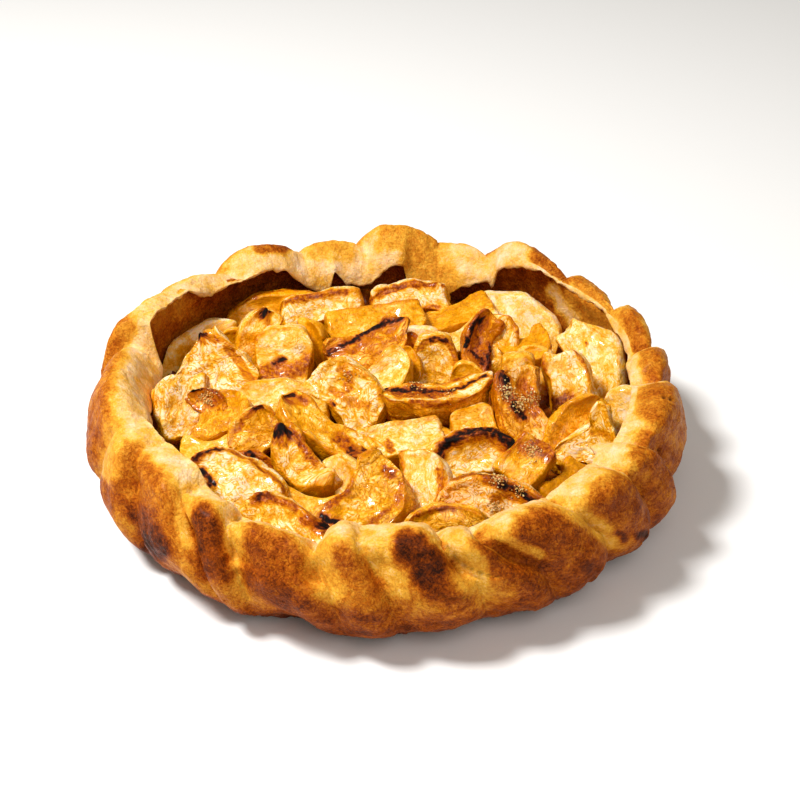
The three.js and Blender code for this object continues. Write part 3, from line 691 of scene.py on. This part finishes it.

# ---------------------------------------------------------------- fruit

# The loose pieces: place, where the cut face looks (bearing and elevation), where its peel
# side points on that face, length, depth and thickness, and how blunt its ends are. Then its
# looks: tone from pale to deep, wrinkles, browned edges. The place, size or turn of 31 of them
# is not the solid's but was fitted closer to the photo.
# Some pieces that lie in shade, as left_leaning, were given paler tones: painted light.
FRUIT = {
    "boat": ((22, -8, 41), (-90, 70), -82, (54, 19, 23), 2.6, (0.05, 0.9, 0.6)),
    "long_wedge": ((-28, -37, 42), (-80, 62), -132, (54, 19, 18), 2.6, (0.42, 0.8, 0.4)),
    "small_charred": ((-80, -13, 39.5), (-80, 52), 38, (26, 14, 12), 1.8, (0.6, 0.9, 0.8)),
    "half_moon_front": ((-9, -84, 38), (-80, 54), -50, (48, 32, 15), 2.6, (0.42, 1.0, 0.5)),
    "tall_dark_tip": ((-38, -56, 40), (-92, 45), -140, (39, 18, 13), 2.6, (0.2, 0.9, 0.5)),
    "knobbly": ((-18, -4, 40), (-90, 52), 42, (40, 26, 20), 3.4, (0.15, 1.0, 0.4)),
    "crescent": ((38, -49, 40), (-90, 46), 94, (46, 21, 16), 2.6, (0.0, 0.9, 0.25)),
    "black_lined": ((44, 43, 40), (-105, 40), 175, (32, 16, 15), 2.6, (0.6, 0.9, 0.9)),
    "spiked": ((-83, 25.5, 36.7), (-98, 50), 99, (46, 38, 18), 1.5, (0.12, 1.0, 0.35)),
    "charred_lump": ((-51, 37, 36), (-90, 50), 90, (28, 31, 20), 4.2, (0.25, 0.5, 0.5)),
    "upright_dark_tip": ((-67, 44, 37), (-98, 36), 168, (42, 19, 14), 2.6, (0.35, 0.6, 0.4)),
    "slab": ((-65, -74, 40), (-95, 60), 62, (49, 29, 14), 3.6, (0.05, 0.9, 0.3)),
    "sugared": ((45, -81, 39), (-88, 54), 78, (49, 20, 17), 2.6, (0.0, 1.0, 0.3)),
    "flat_charred_end": ((-41, -99, 40), (-92, 60), 56, (44, 20, 14), 3, (0.3, 0.9, 0.5)),
    "charred_block": ((60.5, -16, 42), (-100, 48), -158, (39, 24, 19), 3, (0.35, 0.9, 0.35)),
    "browned_crescent": ((-10, 39, 38), (-90, 48), -66, (44, 24, 14), 2.6, (0.5, 1.0, 0.3)),
    "back_wedge_left": ((-35, 79, 38), (-90, 50), 101, (44, 16, 16), 5.5, (0.15, 0.8, 0.5)),
    "back_wedge_right": ((10, 89, 38), (-90, 48), 91, (43, 15, 16), 5.5, (0.12, 0.8, 0.5)),
    "ragged_brown": ((11, 44, 38), (-90, 50), 60, (15, 10, 10), 2.6, (0.8, 1.0, 1.0)),
    "dark_rimmed": ((23, 33, 36), (-92, 42), 90, (22, 28, 14), 3.4, (0.2, 0.8, 0.4)),
    "right_block": ((85, 10, 38), (-92, 48), 10, (33, 21, 17), 4.2, (0.15, 0.8, 0.6)),
    "sugar_brown": ((60, -54, 39), (-86, 48), -40, (24, 19, 16), 5, (0.45, 0.6, 0.6)),
    "olive_slice": ((82, -27, 37.5), (-96, 45), 148, (40, 17, 12), 2.6, (0.72, 0.7, 0.3)),
    "peaked": ((92, -36, 38), (-108, 42), 82, (30, 31, 18), 1.5, (0.15, 0.9, 0.2)),
    "round_faced": ((-96, -8, 36), (-85, 40), 180, (33, 23, 20), 4.2, (0.1, 0.9, 0.3)),
    "front_upright": ((15, -71, 37), (-100, 48), 4, (36, 23, 14), 3.2, (0.15, 0.6, 0.5)),
    "crust_edge_wedge": ((24, -96, 39), (-90, 55), 94, (38, 15, 14), 2.6, (0.45, 0.9, 0.5)),
    "golden_bit": ((-56, -55, 38), (-90, 52), 62, (26, 11, 9), 3.2, (0.5, 0.8, 0.8)),
    "striped": ((-59, -33, 40), (-100, 48), 126, (29, 23, 16), 3, (0.45, 0.9, 0.4)),
    "pale_flat": ((3, -37, 37), (-86, 55), -82, (46, 20, 15), 4, (0.25, 0.6, 0.3)),
    "back_golden": ((35, 75, 35), (-90, 62), -64, (40, 18, 15), 3.4, (0.75, 0.4, 0.3)),
    "back_pale": ((38, 57, 34), (-90, 56), -62, (42, 18, 14), 2.6, (0.4, 0.3, 0.3)),
    "golden_block": ((-7, 65, 35), (-90, 62), -81, (53, 20, 18), 5, (0.62, 0.5, 0.4)),
    "mid_cream": ((-5, 15, 37), (-84, 48), -56, (38, 20, 15), 2.6, (0.3, 0.6, 0.3)),
    "small_golden": ((10, 31, 34), (-88, 40), 12, (22, 12, 12), 2.6, (0.8, 0.4, 0.4)),
    "pale_long": ((-49, -3.5, 35.5), (-92, 56), 78, (46, 22, 16), 3, (0.3, 0.4, 0.3)),
    "smooth_back": ((-76, -17, 34.5), (-60, 75), -30, (30, 28, 22), 2.6, (0.7, 0.8, 0.3)),
    "pale_yellow": ((-80, -38, 33), (-100, 55), -80, (26, 15, 14), 2.6, (0.55, 0.3, 0.3)),
    "skin_side": ((68, 41.5, 36), (-80, 58), -75, (28, 21, 16), 2.2, (0.8, 0.3, 0.2)),
    "ridged": ((55, 44, 38), (-78, 38), -4, (31, 15, 13), 3.8, (0.3, 0.9, 0.5)),
    "tan_block": ((61, 13, 37.5), (-95, 40), 90, (18, 26, 17), 5.5, (0.35, 0.5, 0.4)),
    "pale_slice": ((75, 33, 31), (-90, 45), 24, (30, 15, 12), 2.6, (0.4, 0.2, 0.2)),
    "right_half_moon": ((98, 29.5, 30.5), (-122, 45), 20, (59, 35, 12), 2.2, (0.26, 0.5, 0.3)),
    "back_half_moon": ((66, 78, 31), (-95, 50), 66, (54, 27, 12), 2.6, (0.2, 0.3, 0.2)),
    "small_pale": ((14, 54, 35), (-90, 50), 80, (22, 13, 12), 2.6, (0.2, 0.2, 0.2)),
    "back_small": ((-78, 57, 34), (-92, 40), 90, (16, 12, 12), 2.6, (0.4, 0.4, 0.3)),
    "left_leaning": ((-97, 57, 25), (-58, 38), 110, (56, 25, 10), 2.6, (0.22, 0.3, 0.15)),
    "behind_smooth": ((-58, 85, 31), (-88, 38), 98, (58, 24, 10), 2.6, (0.75, 0.15, 0.15)),
    "yellow_side": ((-38, 49, 32), (-90, 24), 0, (34, 15, 13), 2.6, (0.7, 0.1, 0.1)),
    "small_yellow": ((38, -22, 37), (-90, 56), 106, (22, 15, 13), 4.6, (0.45, 0.6, 0.3)),
    "under_boat": ((38, 26, 33), (-90, 45), 86, (18, 12, 10), 2.6, (0.6, 0.2, 0.3)),
    "under_flat": ((23, -34, 34), (-90, 50), 70, (22, 15, 13), 2.6, (0.6, 0.2, 0.3)),
    "small_front": ((-19, -58, 36), (-90, 48), 20, (21, 13, 12), 2.6, (0.3, 0.4, 0.3)),
    "small_brown": ((46, -53, 33), (-90, 50), 84, (18, 10, 10), 2.6, (0.75, 0.4, 0.8)),
    "wall_slice": ((110, -12, 37), (-125, 42), 100, (26, 24, 10), 3, (0.12, 0.4, 0.2)),
    "corner_smooth": ((80.5, -61, 28.5), (-55, 60), -70, (30, 23, 18), 2.6, (0.95, 0.2, 0.1)),
    "low_pale": ((-33, -78, 33), (-90, 50), -100, (40, 15, 13), 2.6, (0.6, 0.3, 0.4)),
}  # fmt: skip

# Burnt marks: how black, how wide in mm, and along which line of the frame's pixels. Those
# of less than half are only browned.
BURNT_MARKS = {
    "upright_dark_tip": [
        (1.0, 2.4, [(264, 313), (267, 309)]), (0.35, 1.5, [(268, 320), (271, 335)]),
    ],
    "spiked": [
        (1.0, 2.4, [(198, 334), (203, 335)]), (0.45, 1.8, [(200, 338), (203, 342)]),
        (0.4, 2.4, [(213, 328), (214, 340)]),
        (0.34, 2.4, [(226, 348), (240, 362), (250, 376), (258, 382)]),
    ],
    "charred_lump": [
        (0.42, 6.0, [(268, 370), (282, 373), (300, 368), (308, 362)]),
        (0.9, 1.5, [(275, 363), (282, 360)]), (0.48, 1.2, [(264, 376), (275, 381), (295, 382)]),
    ],
    "browned_crescent": [
        (1.0, 1.4, [(327, 352), (340, 347), (352, 342), (362, 336)]),
        (0.9, 1.8, [(366, 331), (376, 327), (386, 322), (402, 319)]),
        (0.4, 2.0, [(335, 354), (352, 350), (366, 343), (372, 333)]),
    ],
    "back_wedge_left": [
        (0.45, 2.2, [(280, 316), (281, 306), (290, 300), (310, 296), (345, 291)]),
    ],
    "back_wedge_right": [
        (0.7, 1.6, [(368, 310), (369, 302)]),
        (0.48, 2.4, [(370, 300), (384, 292), (400, 286), (420, 285), (445, 285)]),
        (0.4, 1.8, [(385, 310), (410, 311), (440, 306)]),
    ],
    "knobbly": [
        (1.0, 0.9, [(332, 403)]), (0.36, 3.2, [(342, 370), (352, 378), (346, 388)]),
        (0.32, 2.6, [(332, 390), (350, 402), (366, 405)]),
    ],
    "dark_rimmed": [
        (0.8, 1.3, [(430, 340), (436, 337), (446, 341)]),
        (0.38, 1.6, [(420, 348), (428, 340), (446, 341), (453, 352), (455, 365)]),
    ],
    "ragged_brown": [(0.45, 3.0, [(408, 346), (418, 352)])],
    "black_lined": [
        (0.48, 6.0, [(482, 322), (474, 336), (476, 350), (486, 364)]),
        (0.9, 1.6, [(484, 318), (475, 325), (468, 338), (465, 347)]),
        (0.8, 1.4, [(470, 350), (478, 358), (487, 367)]), (0.75, 1.2, [(488, 344), (489, 362)]),
    ],
    "small_charred": [
        (0.42, 4.0, [(198, 388), (206, 398), (214, 402)]), (0.8, 2.0, [(193, 390), (198, 384)]),
    ],
    "striped": [
        (0.8, 1.0, [(256, 408), (262, 406)]),
        (0.42, 1.1, [(236, 430), (246, 417), (256, 409), (263, 406)]),
    ],
    "tall_dark_tip": [
        (1.0, 3.0, [(277, 434), (281, 427), (288, 433)]),
        (0.48, 2.0, [(292, 430), (302, 446), (314, 462)]), (0.4, 2.4, [(275, 440), (284, 444)]),
    ],
    "long_wedge": [
        (0.48, 3.2, [(288, 400), (295, 396), (303, 400)]), (0.9, 1.6, [(288, 395), (294, 394)]),
        (0.48, 5.0, [(340, 440), (354, 450), (362, 458)]),
        (0.9, 1.5, [(350, 448), (353, 458), (355, 467)]), (0.9, 1.5, [(364, 450), (371, 456)]),
    ],
    "boat": [
        (1.0, 1.8, [(381, 391), (385, 385)]), (0.9, 1.2, [(384, 390), (396, 390), (405, 391)]),
        (0.9, 2.4, [(408, 390), (416, 388), (424, 391)]),
        (0.49, 5.5, [(400, 393), (420, 394), (440, 392)]),
        (0.85, 1.3, [(430, 391), (450, 391), (462, 386), (485, 376)]),
        (0.45, 1.5, [(424, 404), (440, 406), (452, 402)]),
    ],
    "crescent": [
        (0.9, 2.2, [(438, 458), (443, 447), (452, 438)]),
        (1.0, 4.2, [(452, 440), (462, 433), (476, 430), (490, 430)]),
        (1.0, 5.2, [(490, 430), (504, 435), (512, 442), (516, 450)]),
    ],
    "charred_block": [
        (1.0, 2.4, [(501, 375), (504, 384), (506, 392)]),
        (0.95, 2.2, [(511, 402), (517, 410), (523, 416)]),
        (0.49, 5.0, [(500, 385), (512, 398), (522, 414)]),
        (0.45, 4.0, [(522, 385), (532, 400), (536, 412)]),
    ],
    "slab": [
        (1.0, 1.8, [(208, 450), (216, 447)]),
        (0.6, 1.6, [(195, 460), (203, 452), (210, 449), (222, 449)]),
        (0.45, 2.0, [(232, 450), (255, 462), (275, 480), (284, 492)]),
        (1.0, 1.4, [(200, 470), (207, 477), (214, 484)]),
    ],
    "golden_bit": [
        (1.0, 1.6, [(246, 453), (252, 457)]), (1.0, 1.4, [(262, 467), (272, 475)]),
        (0.45, 3.0, [(250, 455), (265, 462), (272, 470)]),
    ],
    "flat_charred_end": [
        (0.5, 2.0, [(256, 499), (264, 496), (272, 498)]),
        (0.48, 1.8, [(270, 499), (290, 505), (312, 514)]),
        (1.0, 2.6, [(317, 525), (323, 527), (328, 523)]),
        (0.48, 4.0, [(305, 520), (318, 522), (326, 530)]),
    ],
    "half_moon_front": [
        (0.4, 1.6, [(402, 478), (398, 500), (384, 514), (368, 523)]),
        (0.48, 3.0, [(386, 470), (392, 474)]),
        (0.45, 3.4, [(328, 505), (340, 495), (345, 488)]),
        (1.0, 1.8, [(323, 516), (330, 521), (337, 524)]),
    ],
    "sugared": [
        (0.46, 3.0, [(452, 476), (470, 475), (490, 482)]), (0.9, 1.4, [(478, 474), (490, 477)]),
        (0.9, 1.8, [(500, 483), (514, 489), (528, 497), (540, 504)]),
        (0.4, 3.0, [(494, 500), (508, 494), (524, 500)]),
    ],
    "right_block": [
        (0.6, 1.5, [(549, 398), (556, 403)]), (0.48, 5.0, [(552, 400), (562, 406), (570, 398)]),
    ],
    "sugar_brown": [(0.45, 5.0, [(524, 448), (538, 445), (550, 455)])],
    "crust_edge_wedge": [(0.48, 1.2, [(408, 520), (420, 513), (436, 510), (455, 508)])],
    "front_upright": [(0.4, 1.8, [(438, 470), (441, 482), (440, 500)])],
    "behind_smooth": [(0.45, 1.2, [(236, 308), (262, 294), (290, 289), (320, 290)])],
    "pale_flat": [(0.48, 1.8, [(388, 443), (391, 450)])],
    "right_half_moon": [(0.45, 1.0, [(586, 342), (587, 345)])],
    "peaked": [(0.28, 1.2, [(582, 430), (592, 434), (604, 434), (614, 440)])],
}  # fmt: skip

# Tips and corners drawn out of the pieces: from where to where in the frame's pixels, and
# how much of the piece follows, in mm.
DRAWN_OUT = {
    "spiked": [
        ((204, 342), (199, 333), 4), ((214, 332), (213, 326), 2.5), ((248, 372), (258, 379), 7),
    ],
    "upright_dark_tip": [((263, 318), (266, 309), 5)],
    "tall_dark_tip": [((280, 434), (280, 424), 6), ((318, 486), (334, 470), 9)],
    "browned_crescent": [((336, 348), (326, 353), 6), ((400, 326), (407, 319), 6)],
    "boat": [((388, 396), (380, 391), 6), ((482, 378), (491, 372), 7)],
    "long_wedge": [((362, 460), (371, 457), 6), ((292, 400), (284, 397), 5)],
    "peaked": [((600, 414), (600, 403), 6), ((573, 428), (588, 426), 11)],
    "sugared": [((532, 498), (543, 505), 6)],
    "flat_charred_end": [((322, 524), (332, 528), 6)],
    "crescent": [((514, 448), (521, 452), 6), ((440, 466), (430, 474), 7)],
    "charred_block": [((503, 384), (500, 373), 6)],
    "slab": [((203, 458), (194, 461), 6)],
    "black_lined": [((484, 320), (488, 313), 6)],
    "striped": [((258, 414), (262, 405), 5)],
    "left_leaning": [((226, 330), (235, 322), 7)],
    "right_half_moon": [((558, 322), (569, 327), 9)],
}  # fmt: skip

POINT_SPACING = 0.85  # mm, on a piece of fruit
CORE_SHARE = 0.4  # thickness at the core, as a share of that at the peel
CORE_SPAN = 0.62  # how much of a half length the hollow of the core takes up
TIP_START = 0.88  # where on its half length a piece begins to close
LENGTH_SHARE = 0.485  # half the length that is left of a piece with its tips worn off
GRAIN_STEP = 53  # mm between the noises of two pieces
FRUIT_GAP = 2.5  # mm between the fruit and the wall
RIM_LIMIT = 110.5  # how far out the fruit may reach at the height of the rim
RIM_HEIGHTS = 42, 55  # between these it moves in from the wall to there
HIDDEN_COST = 1e6  # keeps points that the camera doesn't see from being the nearest


def gathered(count):
    """Shares from 0 to 1, without the 1, closer together near both ends."""
    even = np.linspace(0, 1, max(count, 4), endpoint=False)
    return lerp(even, 0.5 - 0.5 * np.cos(math.pi * even), 0.6)


def wedge(size, blunt):
    """Rings of points round a wedge of apple, in its own frame, and how far each is from an
    edge, in mm. X runs lengthways, Z from the core to the peel and Y through the slice."""
    long, deep, thick = size
    stations = int(long / POINT_SPACING)
    t = np.sin(np.linspace(-1, 1, stations) * math.pi / 2)[:, None]
    rounding = (1 - np.abs(0.97 * t) ** blunt) ** (1 / blunt)
    blocky = smoothstep(blunt, 3, 4.5)
    core = 0.14 * (1 - blocky) * deep * np.clip(1 - (t / CORE_SPAN) ** 2, 0, None)
    core_share = lerp(CORE_SHARE, 0.8, blocky)
    peel = np.maximum(deep * rounding, core + 0.25 * deep)
    wide = thick * (0.55 + 0.45 * rounding)
    rim = lerp(core, peel, 0.88)

    on_face, on_peel, on_core = (
        gathered(int(length / POINT_SPACING)) for length in (deep, thick, 0.5 * thick)
    )
    sag = 0.03 * thick * np.sin(math.pi * on_face)
    face_y = 0.5 * wide * lerp(core_share, 1, on_face) - sag
    face_z = lerp(core, rim, on_face)
    far = 1 - on_face
    far_y = 0.5 * wide * lerp(core_share, 1, far) - sag
    far_z = lerp(core, rim, far)
    peel_y = 0.5 * wide * (1 - 2 * on_peel)
    peel_z = rim + (peel - rim + 0.1 * thick) * (1 - (1 - 2 * on_peel) ** 2)
    core_y = 0.5 * wide * core_share * (2 * on_core - 1)
    core_z = core - 0.06 * thick * np.sin(math.pi * on_core)
    y = np.hstack([face_y, peel_y, -far_y, core_y])
    z = np.hstack([face_z, peel_z, far_z, core_z])
    face_off = np.minimum(on_face, 1 - on_face) * (rim - core)
    peel_off = np.minimum(on_peel, 1 - on_peel) * wide
    core_off = np.zeros_like(wide) + np.minimum(on_core, 1 - on_core) * 0.5 * thick
    off = np.hstack([face_off, peel_off, face_off, core_off])

    tip = np.sqrt(1 - np.clip((np.abs(t) - TIP_START) / (1 - TIP_START), 0, 1) ** 2)
    middle = 0.5 * (core + peel)
    y = y * lerp(0.03, 1, tip)
    z = middle + (z - middle) * lerp(0.03, 1, tip)
    off = np.minimum(off, (1.0 - np.abs(t)) * 0.5 * long + 1.0)
    y, z = (0.5 * v + 0.25 * (np.roll(v, 1, axis=1) + np.roll(v, -1, axis=1)) for v in (y, z))
    x = np.broadcast_to(LENGTH_SHARE * long * t, y.shape)
    return np.stack([x, y, z - 0.5 * deep], axis=2), off


def placed(points, at, faces, spin):
    """The points of a wedge, turned and moved to its place in the galette."""
    bearing, elevation = np.radians(faces)
    outward = np.array(
        [
            math.cos(bearing) * math.cos(elevation),
            math.sin(bearing) * math.cos(elevation),
            math.sin(elevation),
        ]
    )
    right = np.array([-math.sin(bearing), math.cos(bearing), 0])
    up = np.cross(outward, right)
    peelward = right * math.cos(math.radians(spin)) + up * math.sin(math.radians(spin))
    lengthways = np.cross(-outward, peelward)
    return points @ np.stack([lengthways, -outward, peelward]) + at + CENTRE


def kept_inside(points):
    """The points, with those that would reach into the pastry pushed back."""
    flat = points * [1, 1, 0] - CENTRE
    radius = np.linalg.norm(flat, axis=-1, keepdims=True).clip(1)
    limit = lerp(WALL_RADIUS - FRUIT_GAP, RIM_LIMIT, smoothstep(points[..., 2:], *RIM_HEIGHTS))
    over = np.clip(radius - limit, 0, None)
    return points - flat / radius * over


def nearest_to(pixel, seen, hidden, nearness=0.0):
    """Which of the points, seen at those pixels, lies nearest to a pixel and isn't hidden."""
    return (np.hypot(*(seen - pixel).T) - nearness + HIDDEN_COST * hidden).argmin()


def marked(points, normals, marks):
    """How charred and how browned each point is by marks along lines of the frame's pixels."""
    char = np.zeros(len(points))
    halo = np.zeros(len(points))
    hidden = normals @ TO_CAMERA <= 0.05
    seen = to_pixels(points)
    nearness = 0.1 * (points @ TO_CAMERA)
    ragged = warped(points, 2.6, 1.3, 40)
    for black, wide, line in marks:
        on_piece = [points[nearest_to(pixel, seen, hidden, nearness)] for pixel in line]
        if black >= 0.5:
            char = np.maximum(char, black * stroke(ragged, on_piece, 0.85 * wide + 0.6))
            halo = np.maximum(halo, 0.8 * stroke(ragged, on_piece, 1.6 * wide + 1.5))
        else:
            halo = np.maximum(halo, 2 * black * stroke(ragged, on_piece, wide + 0.8))
    return char, halo


def drawn_out(points, normals, pulls):
    """The points of a piece, with some tips pulled from one pixel of the frame to another."""
    for start, end, reach in pulls:
        tip = points[nearest_to(start, to_pixels(points), normals @ TO_CAMERA < 0)]
        depth = (CAMERA_AT - tip) @ TO_CAMERA
        right, down = (np.array(end) - start) * depth / FOCAL_PIXELS
        share = 1 - smoothstep(np.linalg.norm(points - tip, axis=1), 0, reach)
        points = points + share[:, None] * (right * FRAME_RIGHT - down * FRAME_UP)
    return points


def fruit_piece(name, seed):
    """A loose piece from its row, with wrinkles, worn and browned edges and burnt marks."""
    at, faces, spin, size, blunt, (tone, wrinkle, toast) = FRUIT[name]
    rings, off = wedge(size, blunt)
    shape = rings.shape
    home = rings.reshape(-1, 3) + GRAIN_STEP * seed
    bent = warped(warped(home, 18, 1.8, 30), 8, 0.6, 48) - home
    rings = placed((rings.reshape(-1, 3) + bent).reshape(shape), at, faces, spin)
    normals = grid_normals(rings).reshape(-1, 3)
    points = drawn_out(rings.reshape(-1, 3), normals, DRAWN_OUT.get(name, []))
    normals = grid_normals(points.reshape(shape)).reshape(-1, 3)
    off = off.ravel()
    drawn = warped(home * [0.7, 1, 1], 7, 2.8, 31)
    # The valleys sink the surface and are painted deeper through the valley attribute: painted
    # shade in the creases.
    valley = ridges(drawn, 5.2, 34) ** 2
    char, halo = marked(points, normals, BURNT_MARKS.get(name, []))
    edge = np.exp(-((off / 2.4) ** 2))
    push = (0.3 + wrinkle) * noise(home, 8, 39) - 0.85 * wrinkle * valley * (1 - 0.4 * edge)
    push += 0.1 * noise(home, 2, 41) + edge * (0.35 + 0.5 * toast * noise(home, 3.2, 42))
    push += 0.6 * char * noise(home, 1.9, 43)
    points = kept_inside(points + normals * push[:, None])
    lit = smoothstep(points[:, 2], 34, 50)
    ragged_edge = np.exp(-((off / (1.8 + 1.2 * noise(home, 5, 44))) ** 2))
    browned = toast * ragged_edge * (0.3 + 0.7 * lit)
    browned *= 0.35 + 0.65 * smoothstep(noise(home, 8, 45), -0.5, 0.3)
    browned = np.maximum(browned, 0.28 * toast * smoothstep(noise(home, 9, 46), 0.2, 0.7))
    # Steep sides are painted a deeper golden and flat tops paler: partly drier tops, partly painted
    # shade. Points low in the galette are painted deeper still: painted shade under and between the
    # pieces.
    shaded = 1 - smoothstep(normals[:, 2], 0.05, 0.6)
    painted_low_shade = 1 - smoothstep(points[:, 2], 26, 38)
    browned = np.maximum(browned, 0.68 * halo)
    rows, columns = shape[:2]
    last = (rows - 1) * columns
    caps = [list(range(columns))[::-1], list(range(last, last + columns))]
    piece = add_mesh(
        f"baked_{name}",
        points,
        grid_faces(rows, columns).tolist() + caps,
        fruit_slots[f"apple_{name}"],
        fruit_looks[fruit_slots[f"apple_{name}"]],
        home * [0.8, 1, 1],
        wrinkle=np.full(len(points), wrinkle),
        # The tone holds the painted shade of steep sides and low points.
        tone=0.8 * tone + 0.1 * noise(home, 13, 47) + 0.6 * shaded + 0.25 * painted_low_shade,
        valley=valley * wrinkle,
        toast=browned.clip(0, 1),
        char=char,
    )
    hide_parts(f"apple_{name}")
    return points, normals


fruit_slots = {part["node"]: part["material_slot"] for part in frame["record"]["subparts"]}
fruit_looks = {
    "apple_cream": fruit_material("apple_cream", "FFDEB2", "FAC358", "EE9F08", "D08402"),
    "apple_golden": fruit_material("apple_golden", "FEDAA8", "F8B940", "E89806", "C47A02"),
    "apple_brown": fruit_material("apple_brown", "FCCE92", "F4AD34", "DE8804", "B46002"),
}
fruit = {name: fruit_piece(name, seed) for seed, name in enumerate(FRUIT)}

# Coarse sugar: on which piece, round which pixel, how far from it and how many grains.
SUGAR = [
    ("charred_block", (508, 392), 9, 120),
    ("charred_block", (520, 404), 9, 110),
    ("charred_block", (532, 400), 9, 70),
    ("small_charred", (206, 398), 9, 110),
    ("sugared", (500, 478), 8, 80),
    ("sugared", (520, 490), 7, 60),
    ("sugared", (495, 506), 6, 50),
    ("sugar_brown", (532, 450), 10, 90),
    ("boat", (415, 386), 9, 25),
    ("boat", (450, 392), 9, 20),
    ("knobbly", (348, 375), 8, 30),
]
GRAIN_SIZES = 0.14, 0.34  # half the width of a grain, in mm, before it varies
GRAIN_CORNERS = np.array([[x, y, z] for x in (-1, 1) for y in (-1, 1) for z in (-1, 1)])
GRAIN_FACES = np.array(
    [[0, 1, 3, 2], [4, 6, 7, 5], [0, 4, 5, 1], [2, 3, 7, 6], [0, 2, 6, 4], [1, 5, 7, 3]]
)


def sugar_grains():
    """All the grains of sugar as one mesh."""
    corners, faces = [], []
    for name, pixel, spread, count in SUGAR:
        surface, normals = fruit[name]
        seen = to_pixels(surface)
        hidden = normals @ TO_CAMERA <= 0.1
        for _ in range(count):
            spot = pixel + rng.normal(size=2) * 0.5 * spread
            nearest = nearest_to(spot, seen, hidden)
            size = rng.uniform(*GRAIN_SIZES) * rng.uniform(0.7, 1.3, size=3)
            grain = GRAIN_CORNERS * size * rng.uniform(0.6, 1.2, size=(8, 3))
            turn, _ = np.linalg.qr(rng.normal(size=(3, 3)))
            faces.append(GRAIN_FACES + 8 * len(corners))
            aside = rng.normal(size=3) * 0.5
            aside -= normals[nearest] * (aside @ normals[nearest])
            place = surface[nearest] + aside + 0.1 * normals[nearest]
            corners.append(grain @ (turn * np.sign(np.linalg.det(turn))) + place)
    return np.concatenate(corners), np.concatenate(faces).tolist()


grain_points, grain_faces = sugar_grains()
add_mesh("sugar", grain_points, grain_faces, "apple_brown", grain_material(), grain_points)

# ---------------------------------------------------------------- the bed of fruit

HEAP_HEIGHT = 27
HEAP_LUMP = 5
BED_COLUMNS = 360
BED_RINGS = 82  # on its top
BED_SIDE = [(1, 5.3), (50, 5.3), (100, 5.3), (109, 5.4), (115, 8.5), (120, 13), (121.4, 17)]


def heap_height(x, y):
    """The top of the fruit underneath, with the same swells as the frame's."""
    wave = np.sin(x / 9 + np.sin(y / 13)) * np.cos(y / 8 - np.sin(x / 15))
    return HEAP_HEIGHT + HEAP_LUMP * wave - 4 * smoothstep(np.hypot(x, y), 60, WALL_RADIUS)


side_radius, side_height = np.array(BED_SIDE).T
ring_angle = np.radians(np.arange(BED_COLUMNS) * 360 / BED_COLUMNS)
ring_radius = np.concatenate([side_radius, np.linspace(side_radius[-1], 0.5, BED_RINGS)])
x, y = (np.outer(ring_radius, way(ring_angle)) for way in (np.cos, np.sin))
z = heap_height(x, y)
z[: len(BED_SIDE)] = side_height[:, None]
heap = np.stack([x, y, z], axis=2)
normals = grid_normals(heap).reshape(-1, 3)
points = heap.reshape(-1, 3)
cells = ridges(warped(points, 20, 7, 50), 17, 53)
push = -4.5 * cells**2 + 1.2 * noise(points, 9, 54) + 0.4 * noise(points, 4, 55)
points = points + normals * (push * smoothstep(points[:, 2], 17, 20))[:, None] + CENTRE
bed = add_mesh(
    "fruit_underneath",
    points,
    grid_faces(len(ring_radius), BED_COLUMNS).tolist(),
    "filling",
    fruit_material("filling", "E8AC40", "D88E18", "B8680A", "843C04"),
    points,
    wrinkle=np.full(len(points), 0.5),
    tone=0.8 + 0.2 * noise(points, 12, 56),
    valley=cells,
    toast=0.5 * smoothstep(noise(points, 14, 57), 0.0, 0.5),
    char=np.zeros(len(points)),
)
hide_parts("fruit_bed")

# ---------------------------------------------------------------- the stage

LIGHTS_AIM = Vector((0, 0, 0.03))  # in metres, as the lights' places are
ROOM_COLOUR = (1, 0.92, 0.8, 1)
ROOM_STRENGTH = 0.22


def add_light(name, place, size, power):
    """A soft square light on the galette."""
    light = bpy.data.lights.new(name, "AREA")
    light.size = size
    light.energy = power
    lamp = add_object(name, light)
    lamp.location = place
    direction = LIGHTS_AIM - Vector(place)
    lamp.rotation_mode = "QUATERNION"
    lamp.rotation_quaternion = direction.to_track_quat("-Z", "Y")


camera = add_object("camera", bpy.data.cameras.new("camera"))
camera.data.lens = camera.data.sensor_width * FOCAL_PIXELS / FRAME_PIXELS
camera.location = CAMERA_AT * MM
camera.rotation_euler = (math.pi / 2 - CAMERA_RISE, 0, 0)
camera.data.clip_start, camera.data.clip_end = 0.01, 20
bpy.context.scene.camera = camera

table = bpy.data.meshes.new("table")
table.from_pydata([(-3, -3, 0), (3, -3, 0), (3, 3, 0), (-3, 3, 0)], [], [(0, 1, 2, 3)])
table.materials.append(floor_material())
table_top = add_object("table", table)

world = bpy.data.worlds.new("studio")
world.use_nodes = True
background = world.node_tree.nodes["Background"].inputs
background["Color"].default_value = ROOM_COLOUR
background["Strength"].default_value = ROOM_STRENGTH
bpy.context.scene.world = world
bpy.context.scene.view_settings.view_transform = "Standard"

add_light("key", (-0.65, -0.1, 1.2), 0.3, 23)
add_light("front", (0.35, -0.9, 1.1), 1.0, 6)

# ---------------------------------------------------------------- the end

bpy.context.view_layer.update()
